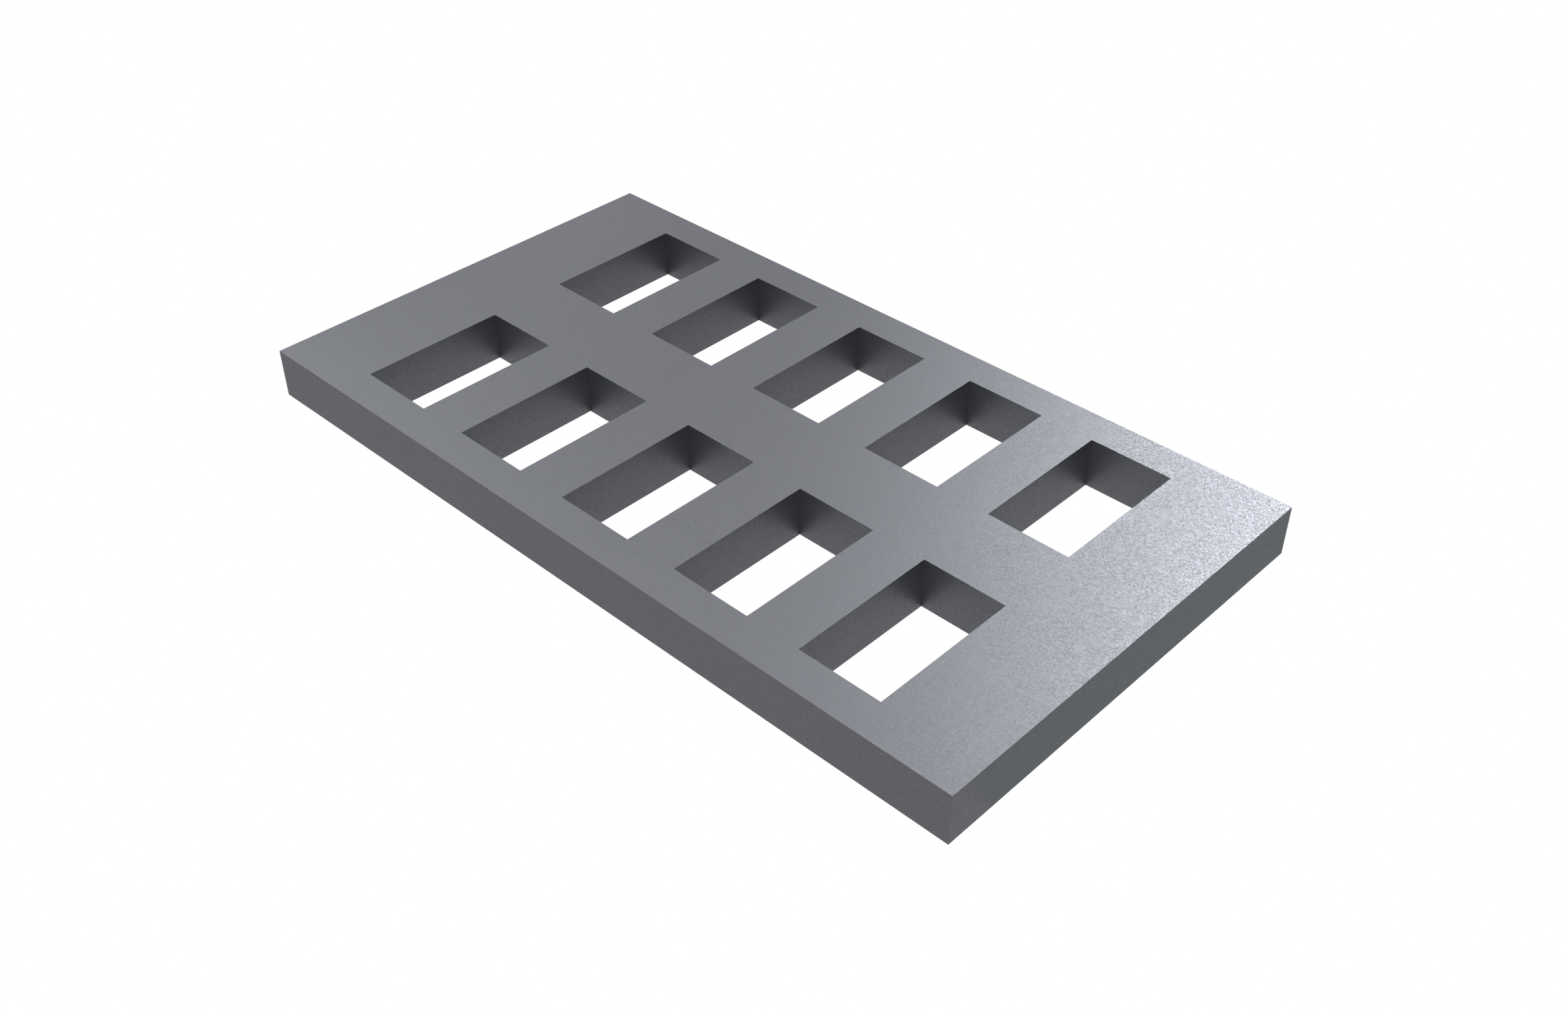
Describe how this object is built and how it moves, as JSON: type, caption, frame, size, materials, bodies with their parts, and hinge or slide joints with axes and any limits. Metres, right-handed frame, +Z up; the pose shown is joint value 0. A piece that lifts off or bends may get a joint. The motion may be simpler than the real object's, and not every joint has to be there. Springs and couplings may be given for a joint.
{
  "type": "queen excluder plate",
  "caption": "Flat metal plate pierced by rows of square-cornered slots that pass worker bees and hold back the queen.",
  "frame": {"origin": "centre of the underside, the face that lies on a surface", "axes": "+X along the plate's length, across the slots' narrow side; +Y across the two columns, along each slot's long side; +Z up through the thickness"},
  "size_m": [0.042, 0.023, 0.0025],
  "materials": {
    "satin_steel": "satin"
  },
  "bodies": {
    "root": {"excluder_plate": "satin_steel"}
  },
  "joints": []
}
